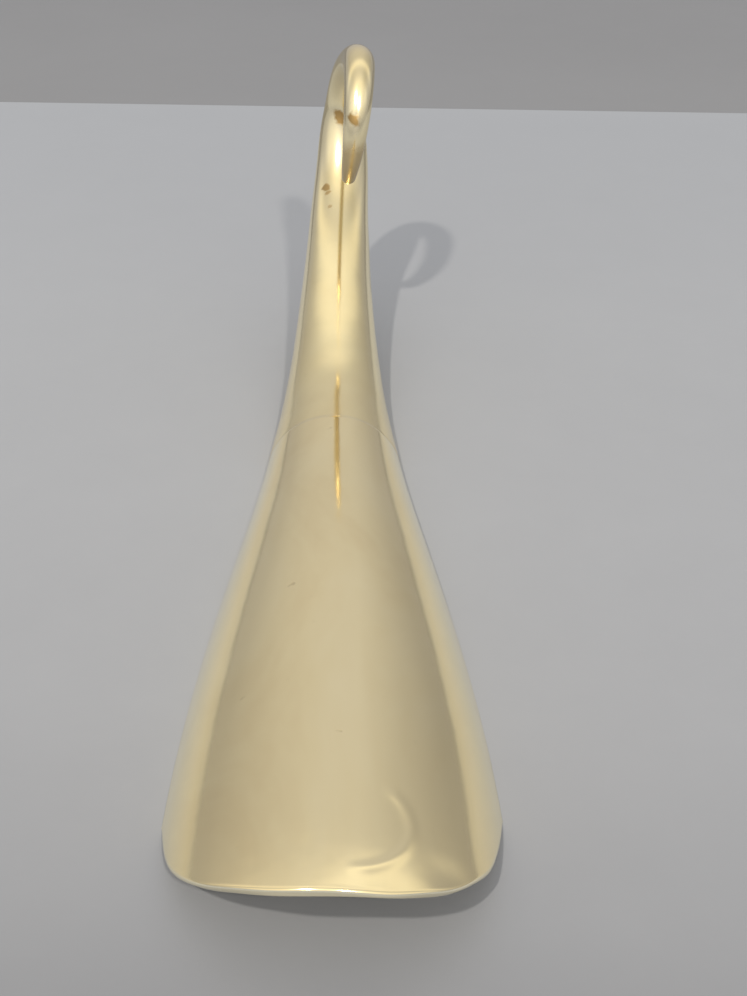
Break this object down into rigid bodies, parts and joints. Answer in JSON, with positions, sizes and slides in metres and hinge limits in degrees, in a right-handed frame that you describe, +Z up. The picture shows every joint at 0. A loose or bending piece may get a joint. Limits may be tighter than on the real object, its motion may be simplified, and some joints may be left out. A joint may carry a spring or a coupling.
{
  "type": "shoehorn",
  "caption": "Solid brass shoehorn: thin dished blade with a rounded lip, running into a solid neck and a tapered stem that curls into a hanging hook.",
  "frame": {"origin": "middle of the footprint on the table plane, with the piece lying convex side up", "axes": "+Z up, +Y from the lip of the blade towards the hook, +X to the right seen from the lip"},
  "size_m": [0.0456, 0.187, 0.0585],
  "materials": {
    "brass": "polished, slightly dulled by handling",
    "braze": "polished filler metal"
  },
  "bodies": {
    "root": {"blade": "brass", "braze_seam": "braze", "hook_stem": "brass"}
  },
  "joints": []
}
